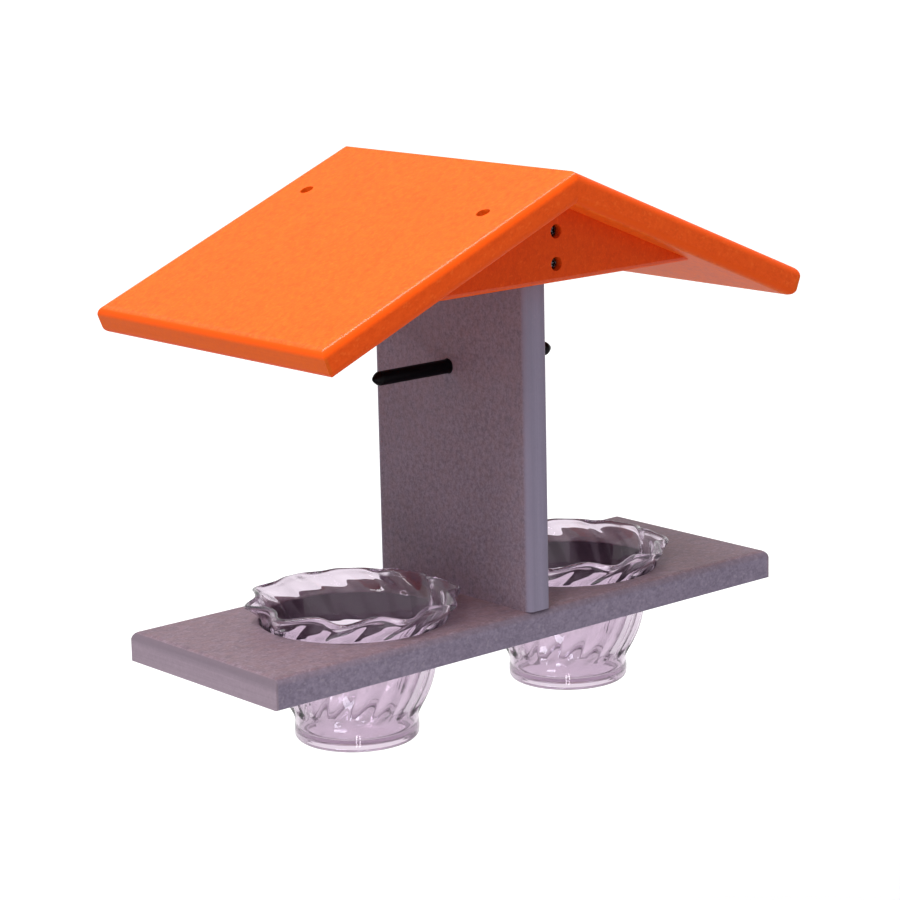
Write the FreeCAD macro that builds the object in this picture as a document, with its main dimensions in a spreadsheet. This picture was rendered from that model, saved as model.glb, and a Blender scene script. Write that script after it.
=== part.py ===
import FreeCAD, Part
import math
import os
import Sketcher

# Covered oriole feeder made of half inch plastic boards.
# X runs along the tray, -Y is the front, +Z is up.
# The origin is the middle of the tray's underside.

doc = FreeCAD.newDocument("oriole_feeder")

# Driving sizes, in millimetres and degrees

SIZES = [
    ("tray_length", 292.1, "tray along X"),
    ("board_width", 101.6, "strip that the tray and the post are cut from"),
    ("board_thickness", 13.0, "every board"),
    ("tray_round", 3.6, "rounded top edges of the tray"),
    ("tray_corner", 0.8, "eased upright corners of the tray"),
    ("cup_spacing", 127.0, "between the two cup holes"),
    ("hole_margin", 9.55, "strip left beside each cup hole"),
    ("cup_hole_round", 0.8, "eased top edge of each cup hole"),
    ("post_round", 3.0, "rounded upright edges of the post"),
    ("post_top_gap", 0.4, "between the post's top and the roof"),
    ("ridge_height", 206.5, "top of the ridge above the tray's underside"),
    ("roof_angle", 22.5, "slope of both roof panels, degrees"),
    ("slope_length", 149.5, "ridge to eave along a panel's top"),
    ("roof_overhang", 13.8, "roof beyond the outer face of each gable"),
    ("roof_top_round", 3.8, "rounded top edges of the roof"),
    ("roof_bottom_round", 3.8, "rounded lower edges of the roof"),
    ("gable_depth", 33.93, "roof's inner ridge to the lower edge of a gable"),
    ("gable_tip", 2.4, "cut off each side tip of a gable"),
    ("gable_round", 2.2, "rounded lower outer edge of each gable"),
    ("peg_height", 115.6, "middle of the fruit peg"),
    ("peg_diameter", 6.35, "free ends of the fruit peg"),
    ("peg_grip", 6.8, "swollen part of the peg inside the post"),
    ("peg_left_reach", 49.6, "left tip from the post's middle"),
    ("peg_right_reach", 55.4, "right tip from the post's middle"),
    ("peg_taper", 4.0, "length of each pointed end"),
    ("peg_tip", 1.6, "diameter of each blunt tip"),
    ("peg_fit", 0.02, "radial room of the peg in the post"),
    ("screw_shank", 3.5, "shank diameter"),
    ("screw_head", 5.6, "head diameter"),
    ("screw_head_height", 2.4, "head above its seat"),
    ("screw_head_side", 1.1, "straight side of the head"),
    ("screw_head_flat", 3.4, "flat top of the head"),
    ("screw_point", 5.0, "length of the pointed end"),
    ("drive_span", 3.0, "cross recess, tip to tip"),
    ("drive_width", 0.8, "cross recess, width of an arm"),
    ("drive_depth", 1.3, "cross recess"),
    ("thread_fit", 0.05, "radial room round a shank"),
    ("pilot_extra", 1.0, "pilot hole beyond a screw's point"),
    ("sink_fit", 0.25, "radial room round a head in its counterbore"),
    ("roof_sink_depth", 6.0, "counterbores in the roof"),
    ("roof_screw_length", 22.0, "shank of a roof screw"),
    ("roof_screw_drop", 39.0, "roof screws below the ridge, along the slope"),
    ("roof_screw_outward", 1.2, "roof screws outward from the middle of a gable"),
    ("gable_sink_depth", 4.4, "counterbores in the gables"),
    ("gable_screw_length", 28.0, "shank of a gable screw"),
    ("gable_screw_low", 8.1, "lower gable screw above the gable's edge"),
    ("gable_screw_step", 13.8, "between the gable screws"),
    ("tray_sink_depth", 4.0, "counterbores under the tray"),
    ("tray_screw_length", 32.0, "shank of a tray screw"),
    ("tray_screw_margin", 12.8, "outer tray screws from the tray's edge"),
    ("cup_fit", 0.25, "radial room of a cup in its hole"),
    ("cup_wall", 2.0, "cup wall"),
    ("cup_floor", 3.0, "cup floor"),
    ("cup_depth", 53.5, "foot below the tray's top"),
    ("foot_inset", 13.9, "foot in from the hole's wall"),
    ("foot_edge", 3.0, "rounded lower edge of the foot"),
    ("foot_ring", 4.9, "width of the ring that the cup stands on"),
    ("foot_recess_depth", 2.0, "hollow inside that ring"),
    ("waist_inset", 14.0, "narrow part above the foot, in from the hole's wall"),
    ("waist_height", 8.4, "waist above the foot's underside"),
    ("calf_inset", 11.05, "body between waist and shoulder, in from the hole's wall"),
    ("calf_height", 16.0, "the same, above the foot's underside"),
    ("shoulder_inset", 6.5, "shoulder of the body, in from the hole's wall"),
    ("shoulder_height", 27.5, "the same, above the foot's underside"),
    ("throat_inset", 3.65, "body just under the tray's top, in from the hole's wall"),
    ("throat_height", 43.5, "the same, above the foot's underside"),
    ("floor_clear", 0.5, "first ring of the inner wall above the floor's rounded edge"),
    ("rim_flare", 3.95, "rim outside the hole's edge"),
    ("rim_height", 9.6, "rim above the tray's top"),
    ("rim_lobe_count", 10.0, "lobes round the rim"),
    ("rim_ripple", 2.7, "rim in and out of its circle"),
    ("rim_wave", 0.75, "rim up and down"),
    ("rim_turn_angle", 23.5, "crest of the first lobe from +X, degrees"),
    ("rim_twist_angle", 14.0, "lean of the lobes from hole to rim, degrees"),
]

sheet = doc.addObject("Spreadsheet::Sheet", "sizes")
for row, (alias, value, note) in enumerate(SIZES, 1):
    sheet.set(f"A{row}", alias)
    sheet.set(f"B{row}", str(value))
    sheet.setAlias(f"B{row}", alias)
    sheet.set(f"C{row}", note)
doc.recompute()

# Places that several pieces share, as expressions

PITCH = "sizes.roof_angle"
THICK = "sizes.board_thickness"
HALF_WIDTH = "sizes.board_width / 2"
ROOF_DEPTH = f"(sizes.board_width + 2 * ({THICK} + sizes.roof_overhang))"
INNER_RIDGE = f"(sizes.ridge_height - {THICK} / cos({PITCH}))"
POST_TOP = f"({INNER_RIDGE} - {THICK} / 2 * tan({PITCH}) - sizes.post_top_gap)"
GABLE_OUTER = f"({HALF_WIDTH} + {THICK})"
ROOF_SCREW_ROW = f"({HALF_WIDTH} + {THICK} / 2 + sizes.roof_screw_outward)"
GABLE_BOTTOM = f"({INNER_RIDGE} - sizes.gable_depth)"
GABLE_SPAN = f"(sizes.gable_depth / tan({PITCH}))"
GABLE_SCREW_LOWER = f"({GABLE_BOTTOM} + sizes.gable_screw_low)"
GABLE_SCREW_UPPER = f"({GABLE_SCREW_LOWER} + sizes.gable_screw_step)"
GABLE_SCREW_SEAT = f"({GABLE_OUTER} - sizes.gable_sink_depth)"
CUP_SIDE = "sizes.cup_spacing / 2"
CUP_HOLE = f"({HALF_WIDTH} - sizes.hole_margin)"
SHANK_HOLE = "(sizes.screw_shank / 2 + sizes.thread_fit)"
SINK_HOLE = "(sizes.screw_head / 2 + sizes.sink_fit)"

# A rounded edge takes at most this share of a board's thickness.
ROUND_LIMIT = f"{THICK} * 0.45"


def size(expression):
    """Number that an expression on the sheet gives now."""
    value = sheet.evalExpression(expression)
    return float(getattr(value, "Value", value))


# Sketches and features


def new_body(name):
    body = doc.addObject("PartDesign::Body", name)
    body.Label = name
    return body


def new_sketch(body, name, role, offset=None):
    """Sketch on one of the body's own origin planes, or level with it at an offset."""
    plane = [item for item in body.Origin.OriginFeatures if item.Role == role][0]
    sketch = body.newObject("Sketcher::SketchObject", name)
    sketch.AttachmentSupport = [(plane, "")]
    sketch.MapMode = "FlatFace"
    if offset is not None:
        sketch.setExpression("AttachmentOffset.Base.z", offset)
    return sketch


def bind(sketch, constraint, expression):
    index = sketch.addConstraint(constraint)
    sketch.setExpression(f"Constraints[{index}]", expression)


def pin_point(sketch, item, spot, across, along):
    """Tie a point of the sketch to the sketch's origin in both directions."""
    for kind, axis, expression in (("DistanceX", -2, across), ("DistanceY", -1, along)):
        value = size(expression)
        if abs(value) < 1e-9:
            sketch.addConstraint(Sketcher.Constraint("PointOnObject", item, spot, axis))
        elif value > 0:
            bind(sketch, Sketcher.Constraint(kind, -1, 1, item, spot, value), expression)
        else:
            bind(sketch, Sketcher.Constraint(kind, item, spot, -1, 1, -value), f"-({expression})")


def add_polygon(sketch, corners):
    """Closed outline whose corners are pairs of expressions."""
    points = [FreeCAD.Vector(size(x), size(y), 0) for x, y in corners]
    count = len(points)
    first = sketch.GeometryCount
    for i in range(count):
        sketch.addGeometry(Part.LineSegment(points[i], points[(i + 1) % count]), False)
    for i in range(count):
        following = first + (i + 1) % count
        sketch.addConstraint(Sketcher.Constraint("Coincident", first + i, 2, following, 1))
    for i, (x, y) in enumerate(corners):
        pin_point(sketch, first + i, 1, x, y)


def add_circle(sketch, x, y, radius):
    centre = FreeCAD.Vector(size(x), size(y), 0)
    circle = Part.Circle(centre, FreeCAD.Vector(0, 0, 1), size(radius))
    item = sketch.addGeometry(circle, False)
    pin_point(sketch, item, 3, x, y)
    bind(sketch, Sketcher.Constraint("Radius", item, size(radius)), radius)


def add_pad(body, name, sketch, length, symmetric=False, turned=False):
    pad = body.newObject("PartDesign::Pad", name)
    pad.Profile = sketch
    pad.setExpression("Length", length)
    pad.Reversed = turned
    if symmetric:
        pad.SideType = "Symmetric"
    doc.recompute()
    return pad


def add_pocket(body, name, sketch, depth, turned=False, symmetric=False):
    """Pocket of a set depth that has to take material away."""
    before = body.Shape.Volume
    pocket = body.newObject("PartDesign::Pocket", name)
    pocket.Profile = sketch
    pocket.setExpression("Length", depth)
    pocket.Reversed = turned
    if symmetric:
        pocket.SideType = "Symmetric"
    doc.recompute()
    if body.Shape.Volume > before - 0.01:
        raise RuntimeError(f"{body.Label}: {name} cuts nothing")
    return pocket


def add_fillet(body, name, radius, chosen):
    """Fillet of the edges of the body's last feature that pass the test."""
    base = body.Tip
    names = []
    for number, edge in enumerate(base.Shape.Edges, 1):
        middle = edge.valueAt((edge.FirstParameter + edge.LastParameter) / 2)
        if chosen(edge, middle):
            names.append(f"Edge{number}")
    if not names:
        raise RuntimeError(f"{body.Label}: no edge for {name}")
    fillet = body.newObject("PartDesign::Fillet", name)
    fillet.Base = (base, names)
    fillet.setExpression("Radius", radius)
    doc.recompute()
    return fillet


def near(a, b):
    return abs(a - b) < 1e-4


def place(item, x=None, y=None, z=None, angle=None):
    """Bind the placement's coordinates, and its angle, to expressions."""
    for axis, expression in (("x", x), ("y", y), ("z", z)):
        if expression is not None:
            item.setExpression(f"Placement.Base.{axis}", expression)
    if angle is not None:
        item.setExpression("Placement.Rotation.Angle", angle)


def turned_about(axis, degrees):
    return FreeCAD.Placement(FreeCAD.Vector(), FreeCAD.Rotation(axis, degrees))


X_AXIS = FreeCAD.Vector(1, 0, 0)
Y_AXIS = FreeCAD.Vector(0, 1, 0)
nodes = []

# Base tray

tray = new_body("base_tray")
nodes.append(tray)
outline = new_sketch(tray, "tray_outline", "XY_Plane")
half_length = "sizes.tray_length / 2"
add_polygon(outline, [
    (f"-{half_length}", f"-{HALF_WIDTH}"),
    (half_length, f"-{HALF_WIDTH}"),
    (half_length, HALF_WIDTH),
    (f"-{half_length}", HALF_WIDTH),
])
add_pad(tray, "tray_board", outline, THICK)
add_fillet(tray, "tray_corners", "sizes.tray_corner",
           lambda edge, middle: near(middle.z, size(THICK) / 2))
add_fillet(tray, "tray_top_edges", f"min(sizes.tray_round; {ROUND_LIMIT})",
           lambda edge, middle: near(middle.z, size(THICK)))
holes = new_sketch(tray, "cup_holes", "XY_Plane")
for side in ("-", ""):
    add_circle(holes, f"{side}{CUP_SIDE}", "0", CUP_HOLE)
add_pocket(tray, "cup_hole_cut", holes, THICK, turned=True)
add_fillet(tray, "cup_hole_edges", "sizes.cup_hole_round",
           lambda edge, middle: near(middle.z, size(THICK))
           and near(math.hypot(abs(middle.x) - size(CUP_SIDE), middle.y), size(CUP_HOLE)))
TRAY_SCREW_ROW = f"({HALF_WIDTH} - sizes.tray_screw_margin)"
TRAY_SCREWS = {
    "front_outer": f"-{TRAY_SCREW_ROW}",
    "front_inner": f"-{TRAY_SCREW_ROW} / 3",
    "rear_inner": f"{TRAY_SCREW_ROW} / 3",
    "rear_outer": TRAY_SCREW_ROW,
}
shanks = new_sketch(tray, "tray_screw_holes", "XY_Plane")
sinks = new_sketch(tray, "tray_screw_sinks", "XY_Plane")
for spot in TRAY_SCREWS.values():
    add_circle(shanks, "0", spot, SHANK_HOLE)
    add_circle(sinks, "0", spot, SINK_HOLE)
add_pocket(tray, "tray_screw_hole_cut", shanks, THICK, turned=True)
add_pocket(tray, "tray_screw_sink_cut", sinks, "sizes.tray_sink_depth", turned=True)

# Post, standing across the middle of the tray

post = new_body("post_board")
nodes.append(post)
section = new_sketch(post, "post_section", "XY_Plane")
add_polygon(section, [
    (f"-{THICK} / 2", f"-{HALF_WIDTH}"),
    (f"{THICK} / 2", f"-{HALF_WIDTH}"),
    (f"{THICK} / 2", HALF_WIDTH),
    (f"-{THICK} / 2", HALF_WIDTH),
])
add_pad(post, "post_length", section, f"{POST_TOP} - {THICK}")
post_middle = size(f"({POST_TOP} - {THICK}) / 2")
add_fillet(post, "post_edges", f"min(sizes.post_round; {ROUND_LIMIT})",
           lambda edge, middle: near(middle.z, post_middle))
peg_hole = new_sketch(post, "peg_hole", "YZ_Plane")
add_circle(peg_hole, "0", f"sizes.peg_height - {THICK}", "sizes.peg_grip / 2 + sizes.peg_fit")
add_pocket(post, "peg_hole_cut", peg_hole, f"2 * {THICK}", symmetric=True)
GABLE_PILOT = f"(sizes.gable_screw_length + sizes.gable_sink_depth - {THICK} + sizes.pilot_extra)"
for face, offset, turned in (("front", HALF_WIDTH, False), ("rear", f"-{HALF_WIDTH}", True)):
    pilots = new_sketch(post, f"{face}_pilots", "XZ_Plane", offset)
    add_circle(pilots, "0", f"{GABLE_SCREW_LOWER} - {THICK}", SHANK_HOLE)
    add_circle(pilots, "0", f"{GABLE_SCREW_UPPER} - {THICK}", SHANK_HOLE)
    add_pocket(post, f"{face}_pilot_cut", pilots, GABLE_PILOT, turned=turned)
foot_pilots = new_sketch(post, "foot_pilots", "XY_Plane")
for spot in TRAY_SCREWS.values():
    add_circle(foot_pilots, "0", spot, SHANK_HOLE)
add_pocket(post, "foot_pilot_cut", foot_pilots,
           f"sizes.tray_screw_length + sizes.tray_sink_depth - {THICK} + sizes.pilot_extra", turned=True)
place(post, z=THICK)

# Roof panels, drawn flat with the top face on the XY plane and then tipped to the pitch

for name, sign in (("roof_panel_left", "-"), ("roof_panel_right", "")):
    panel = new_body(name)
    nodes.append(panel)
    profile = new_sketch(panel, f"{name}_profile", "XZ_Plane")
    add_polygon(profile, [
        ("0", "0"),
        (f"{sign}sizes.slope_length", "0"),
        (f"{sign}sizes.slope_length", f"-{THICK}"),
        (f"{sign}{THICK} * tan({PITCH})", f"-{THICK}"),
    ])
    add_pad(panel, f"{name}_board", profile, ROOF_DEPTH, symmetric=True)
    side = -1 if sign else 1
    eave = side * size("sizes.slope_length")
    half_depth = size(ROOF_DEPTH) / 2
    add_fillet(panel, f"{name}_top_edges", f"min(sizes.roof_top_round; {ROUND_LIMIT})",
               lambda edge, middle: near(middle.z, 0)
               and (near(abs(middle.y), half_depth) or near(middle.x, eave)))
    add_fillet(panel, f"{name}_lower_edges", f"min(sizes.roof_bottom_round; {ROUND_LIMIT})",
               lambda edge, middle: near(middle.z, -size(THICK))
               and (near(abs(middle.y), half_depth) or near(middle.x, eave)))
    shanks = new_sketch(panel, f"{name}_screw_holes", "XY_Plane")
    sinks = new_sketch(panel, f"{name}_screw_sinks", "XY_Plane")
    for row in (f"-{ROOF_SCREW_ROW}", ROOF_SCREW_ROW):
        add_circle(shanks, f"{sign}sizes.roof_screw_drop", row, SHANK_HOLE)
        add_circle(sinks, f"{sign}sizes.roof_screw_drop", row, SINK_HOLE)
    add_pocket(panel, f"{name}_screw_hole_cut", shanks, THICK)
    add_pocket(panel, f"{name}_screw_sink_cut", sinks, "sizes.roof_sink_depth")
    panel.Placement = turned_about(Y_AXIS, side * size(PITCH))
    place(panel, z="sizes.ridge_height", angle=f"{sign}{PITCH}")

# Gables, closing the roof's ends and holding it to the post


def roof_screw_spot(sign, depth):
    """Place, under the roof's top face by a depth, on the axis of a roof screw."""
    across = f"{sign}(sizes.roof_screw_drop * cos({PITCH}) - ({depth}) * sin({PITCH}))"
    height = f"sizes.ridge_height - sizes.roof_screw_drop * sin({PITCH}) - ({depth}) * cos({PITCH})"
    return across, height


ROOF_PILOT_END = "sizes.roof_sink_depth + sizes.roof_screw_length + sizes.pilot_extra"

for name, sign in (("gable_front", "-"), ("gable_rear", "")):
    gable = new_body(name)
    nodes.append(gable)
    front = sign == "-"
    inner = HALF_WIDTH if front else f"-{HALF_WIDTH}"
    outer = GABLE_OUTER if front else f"-{GABLE_OUTER}"
    shape = new_sketch(gable, f"{name}_outline", "XZ_Plane", inner)
    add_polygon(shape, [
        (f"-{GABLE_SPAN}", GABLE_BOTTOM),
        (GABLE_SPAN, GABLE_BOTTOM),
        ("0", INNER_RIDGE),
    ])
    add_pad(gable, f"{name}_board", shape, THICK, turned=not front)
    face = (-1 if front else 1) * size(GABLE_OUTER)
    add_fillet(gable, f"{name}_lower_edge", f"min(sizes.gable_round; {ROUND_LIMIT})",
               lambda edge, middle: near(middle.y, face) and near(middle.z, size(GABLE_BOTTOM)))
    tips = new_sketch(gable, f"{name}_tips", "XZ_Plane", outer)
    for way in ("-", ""):
        add_polygon(tips, [
            (f"{way}({GABLE_SPAN} - sizes.gable_tip)", GABLE_BOTTOM),
            (f"{way}{GABLE_SPAN}", GABLE_BOTTOM),
            (f"{way}{GABLE_SPAN}", f"{GABLE_BOTTOM} + sizes.gable_tip"),
            (f"{way}({GABLE_SPAN} - sizes.gable_tip)", f"{GABLE_BOTTOM} + sizes.gable_tip"),
        ])
    add_pocket(gable, f"{name}_tip_cut", tips, THICK, turned=not front)
    shanks = new_sketch(gable, f"{name}_screw_holes", "XZ_Plane", outer)
    sinks = new_sketch(gable, f"{name}_screw_sinks", "XZ_Plane", outer)
    for row in (GABLE_SCREW_LOWER, GABLE_SCREW_UPPER):
        add_circle(shanks, "0", row, SHANK_HOLE)
        add_circle(sinks, "0", row, SINK_HOLE)
    add_pocket(gable, f"{name}_screw_hole_cut", shanks, THICK, turned=not front)
    add_pocket(gable, f"{name}_screw_sink_cut", sinks, "sizes.gable_sink_depth", turned=not front)
    for slope, way in (("left", "-"), ("right", "")):
        pilot = gable.newObject("PartDesign::SubtractiveCylinder", f"{name}_{slope}_pilot")
        pilot.setExpression("Radius", SHANK_HOLE)
        pilot.setExpression("Height", ROOF_PILOT_END)
        across, height = roof_screw_spot(way, ROOF_PILOT_END)
        pilot.Placement = turned_about(Y_AXIS, (-1 if way else 1) * size(PITCH))
        place(pilot, across, f"{sign}{ROOF_SCREW_ROW}", height, f"{way}{PITCH}")
        doc.recompute()

# Fruit peg, one rod through the post

peg = new_body("fruit_peg")
nodes.append(peg)
half_profile = new_sketch(peg, "peg_profile", "XZ_Plane")
add_polygon(half_profile, [
    ("-sizes.peg_left_reach", "0"),
    ("sizes.peg_right_reach", "0"),
    ("sizes.peg_right_reach", "sizes.peg_tip / 2"),
    ("sizes.peg_right_reach - sizes.peg_taper", "sizes.peg_diameter / 2"),
    (f"{THICK} / 2", "sizes.peg_diameter / 2"),
    (f"{THICK} / 2", "sizes.peg_grip / 2"),
    (f"-{THICK} / 2", "sizes.peg_grip / 2"),
    (f"-{THICK} / 2", "sizes.peg_diameter / 2"),
    ("-sizes.peg_left_reach + sizes.peg_taper", "sizes.peg_diameter / 2"),
    ("-sizes.peg_left_reach", "sizes.peg_tip / 2"),
])
rod = peg.newObject("PartDesign::Revolution", "peg_rod")
rod.Profile = half_profile
rod.ReferenceAxis = (half_profile, ["H_Axis"])
rod.Angle = 360
place(peg, z="sizes.peg_height")
doc.recompute()

# Screws: head up, seat at the screw's own origin, shank down


def make_screw(name, length):
    screw = new_body(name)
    nodes.append(screw)
    outline = new_sketch(screw, f"{name}_profile", "XZ_Plane")
    add_polygon(outline, [
        ("0", f"-{length}"),
        ("sizes.screw_shank / 2", f"-{length} + sizes.screw_point"),
        ("sizes.screw_shank / 2", "0"),
        ("sizes.screw_head / 2", "0"),
        ("sizes.screw_head / 2", "sizes.screw_head_side"),
        ("sizes.screw_head_flat / 2", "sizes.screw_head_height"),
        ("0", "sizes.screw_head_height"),
    ])
    turned = screw.newObject("PartDesign::Revolution", f"{name}_turned")
    turned.Profile = outline
    turned.ReferenceAxis = (outline, ["V_Axis"])
    turned.Angle = 360
    doc.recompute()
    cross = new_sketch(screw, f"{name}_cross", "XY_Plane", "sizes.screw_head_height")
    arm = "sizes.drive_span / 2"
    half = "sizes.drive_width / 2"
    add_polygon(cross, [
        (arm, f"-{half}"), (arm, half), (half, half), (half, arm),
        (f"-{half}", arm), (f"-{half}", half), (f"-{arm}", half), (f"-{arm}", f"-{half}"),
        (f"-{half}", f"-{half}"), (f"-{half}", f"-{arm}"), (half, f"-{arm}"), (half, f"-{half}"),
    ])
    add_pocket(screw, f"{name}_recess", cross, "sizes.drive_depth")
    return screw


for panel_side, way in (("left", "-"), ("right", "")):
    for end, sign in (("front", "-"), ("rear", "")):
        screw = make_screw(f"roof_screw_{panel_side}_{end}", "sizes.roof_screw_length")
        screw.Placement = turned_about(Y_AXIS, (-1 if way else 1) * size(PITCH))
        across, height = roof_screw_spot(way, "sizes.roof_sink_depth")
        place(screw, across, f"{sign}{ROOF_SCREW_ROW}", height, f"{way}{PITCH}")

for end, sign, lean in (("front", "-", 90), ("rear", "", -90)):
    for level, row in (("upper", GABLE_SCREW_UPPER), ("lower", GABLE_SCREW_LOWER)):
        screw = make_screw(f"gable_screw_{end}_{level}", "sizes.gable_screw_length")
        screw.Placement = turned_about(X_AXIS, lean)
        place(screw, y=f"{sign}{GABLE_SCREW_SEAT}", z=row)

for spot_name, spot in TRAY_SCREWS.items():
    screw = make_screw(f"tray_screw_{spot_name}", "sizes.tray_screw_length")
    screw.Placement = turned_about(X_AXIS, 180)
    place(screw, y=spot, z="sizes.tray_sink_depth")

# Cups: a round bowl that opens into a lobed, waving rim above the tray

CUP_RINGS = 15
LOBE_POINTS = 8


def smooth_curve(points):
    curve = Part.BSplineCurve()
    curve.interpolate([FreeCAD.Vector(radius, 0, height) for radius, height in points])
    return curve


def profile_rows(curve, count, inward):
    """Radius and height of evenly spaced points on a profile, moved in by a wall."""
    rows = []
    first, last = curve.FirstParameter, curve.LastParameter
    for i in range(count):
        spot = first + (last - first) * i / (count - 1)
        point = curve.value(spot)
        run = curve.tangent(spot)[0]
        rows.append((point.x - run.z * inward, point.z + run.x * inward))
    return rows


def lobed_ring(radius, height, seat_height, rim_level):
    """Closed ring at a height: round up to the tray's top, lobed and waving at the rim."""
    rise = min(max((height - seat_height) / (rim_level - seat_height), 0), 1)
    growth = rise * rise * (3 - 2 * rise)
    lobes = round(size("sizes.rim_lobe_count"))
    ripple = growth * size("sizes.rim_ripple")
    wave = growth * size("sizes.rim_wave")
    turn = math.radians(size("sizes.rim_turn_angle") - (1 - rise) * size("sizes.rim_twist_angle"))
    points = []
    count = lobes * LOBE_POINTS
    for i in range(count):
        angle = 2 * math.pi * i / count
        crest = math.cos(lobes * (angle - turn))
        reach = radius - ripple * crest
        points.append(FreeCAD.Vector(reach * math.cos(angle), reach * math.sin(angle), height + wave * crest))
    ring = Part.BSplineCurve()
    ring.interpolate(points, PeriodicFlag=True)
    return Part.Wire([ring.toShape()])


def cup_solid():
    """Bowl with its foot on its own XY plane, closed from an outer and an inner skin."""
    wall = size("sizes.cup_wall")
    seat_height = size("sizes.cup_depth")
    rim_level = seat_height + size("sizes.rim_height")
    hole = size(CUP_HOLE)
    foot = hole - size("sizes.foot_inset")
    edge = size("sizes.foot_edge")
    floor = size("sizes.foot_recess_depth + sizes.cup_floor")
    waist = hole - size("sizes.waist_inset")
    waist_height = size("sizes.waist_height")
    body = [
        (waist, waist_height),
        (hole - size("sizes.calf_inset"), size("sizes.calf_height")),
        (hole - size("sizes.shoulder_inset"), size("sizes.shoulder_height")),
        (hole - size("sizes.throat_inset"), size("sizes.throat_height")),
        (hole - size("sizes.cup_fit"), seat_height),
        (hole + size("sizes.rim_flare"), rim_level),
    ]
    profile = smooth_curve(body)
    corner = 1 - math.sqrt(0.5)
    base = [
        (foot - edge, 0),
        (foot - edge * corner, edge * corner),
        (foot, edge),
        ((foot + waist) / 2, (edge + waist_height) / 2),
    ]
    outer_rows = base + profile_rows(profile, CUP_RINGS, 0)
    wall_start = floor + edge + size("sizes.floor_clear")
    inner_body = [row for row in profile_rows(profile, CUP_RINGS, wall) if row[1] > wall_start]
    floor_radius = waist - wall
    inner_rows = [
        (floor_radius - edge, floor),
        (floor_radius - edge * corner, floor + edge * corner),
        (floor_radius, floor + edge),
    ] + inner_body
    outer = [lobed_ring(radius, height, seat_height, rim_level) for radius, height in outer_rows]
    inner = [lobed_ring(radius, height, seat_height, rim_level) for radius, height in inner_rows]
    outer_skin = Part.makeLoft(outer, False, False)
    inner_skin = Part.makeLoft(inner, False, False)
    lip = Part.makeRuledSurface(outer[-1].Edges[0], inner[-1].Edges[0])
    under = Part.Face(outer[0])
    inside_floor = Part.Face(inner[0])
    faces = outer_skin.Faces + inner_skin.Faces + lip.Faces + [under, inside_floor]
    shell = Part.makeShell(faces)
    shell.sewShape()
    bowl = Part.Solid(shell)
    if bowl.Volume < 0:
        bowl.reverse()
    hollow = Part.makeCylinder(foot - size("sizes.foot_ring"), size("sizes.foot_recess_depth"))
    return bowl.cut(hollow)


bowl = cup_solid()
for name, sign in (("cup_left", "-"), ("cup_right", "")):
    cup = doc.addObject("Part::Feature", name)
    cup.Label = name
    cup.Shape = bowl
    nodes.append(cup)
    place(cup, x=f"{sign}{CUP_SIDE}", z=f"{THICK} - sizes.cup_depth")

# Check every piece, then write one file for each

doc.recompute()
for item in doc.Objects:
    if "Invalid" in item.State or "Error" in item.State:
        raise RuntimeError(f"{item.Label} did not rebuild")
for node in nodes:
    shape = node.Shape
    if shape.isNull() or not shape.isValid() or len(shape.Solids) != 1:
        raise RuntimeError(f"{node.Label} is not one valid solid")
os.makedirs("parts", exist_ok=True)
for node in nodes:
    node.Shape.exportStep(f"parts/{node.Label}.step")
    print(f"{node.Label}: {node.Shape.Volume / 1000:.2f} cm3")
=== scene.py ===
import math

import bpy
import numpy as np
from mathutils import Matrix, Vector


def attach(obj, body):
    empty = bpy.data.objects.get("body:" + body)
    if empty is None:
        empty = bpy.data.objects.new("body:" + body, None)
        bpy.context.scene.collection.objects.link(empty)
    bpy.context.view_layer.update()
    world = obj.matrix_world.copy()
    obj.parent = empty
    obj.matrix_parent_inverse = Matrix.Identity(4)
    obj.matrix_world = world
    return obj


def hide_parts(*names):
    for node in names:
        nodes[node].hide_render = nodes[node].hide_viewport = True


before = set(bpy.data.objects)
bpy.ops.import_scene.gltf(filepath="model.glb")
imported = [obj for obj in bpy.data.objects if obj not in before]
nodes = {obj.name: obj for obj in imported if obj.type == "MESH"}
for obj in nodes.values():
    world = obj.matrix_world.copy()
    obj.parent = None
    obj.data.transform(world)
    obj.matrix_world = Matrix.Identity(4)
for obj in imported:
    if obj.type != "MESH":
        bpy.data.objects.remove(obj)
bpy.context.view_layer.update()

# Covered oriole feeder: mottled plastic boards, clear fluted cups, dark screws and a black fruit peg.
# Sizes of pieces are in millimetres and are turned into metres where a mesh or a mask is made.
# The studio, its lamps and its floor are in metres.

MM = 0.001
scene = bpy.context.scene
scene.view_settings.view_transform = "Standard"

# Light passes the walls of the clear cups many times before it reaches the camera.
scene.cycles.max_bounces = 24
scene.cycles.glossy_bounces = 16
scene.cycles.transmission_bounces = 24

# Sizes of the boards and screws, as in the part

TRAY_LENGTH = 292.1
BOARD_WIDTH = 101.6
BOARD = 13.0
TRAY_ROUND = 3.6
CUP_SIDE = 63.5
HOLE_RADIUS = 41.25
ROOF_ROUND = 3.8
GABLE_ROUND = 2.2
RIDGE_HEIGHT = 206.5
ROOF_ANGLE = math.radians(22.5)
SLOPE_LENGTH = 149.5
ROOF_DEPTH = 155.2
INNER_RIDGE = RIDGE_HEIGHT - BOARD / math.cos(ROOF_ANGLE)
GABLE_DEPTH = 33.93
GABLE_OUTER = BOARD_WIDTH / 2 + BOARD
GABLE_SINK = 4.4
GABLE_SEAT = GABLE_OUTER - GABLE_SINK
GABLE_SCREW_RISE = 8.1
GABLE_SCREW_LOW = INNER_RIDGE - GABLE_DEPTH + GABLE_SCREW_RISE
GABLE_SCREW_STEP = 13.8
ROOF_SINK = 6.0
ROOF_SCREW_SHIFT = 1.2
ROOF_SCREW_ROW = BOARD_WIDTH / 2 + BOARD / 2 + ROOF_SCREW_SHIFT
ROOF_SCREW_DROP = 39.0
TRAY_SINK = 4.0
TRAY_SCREW_INSET = 12.8
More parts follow.
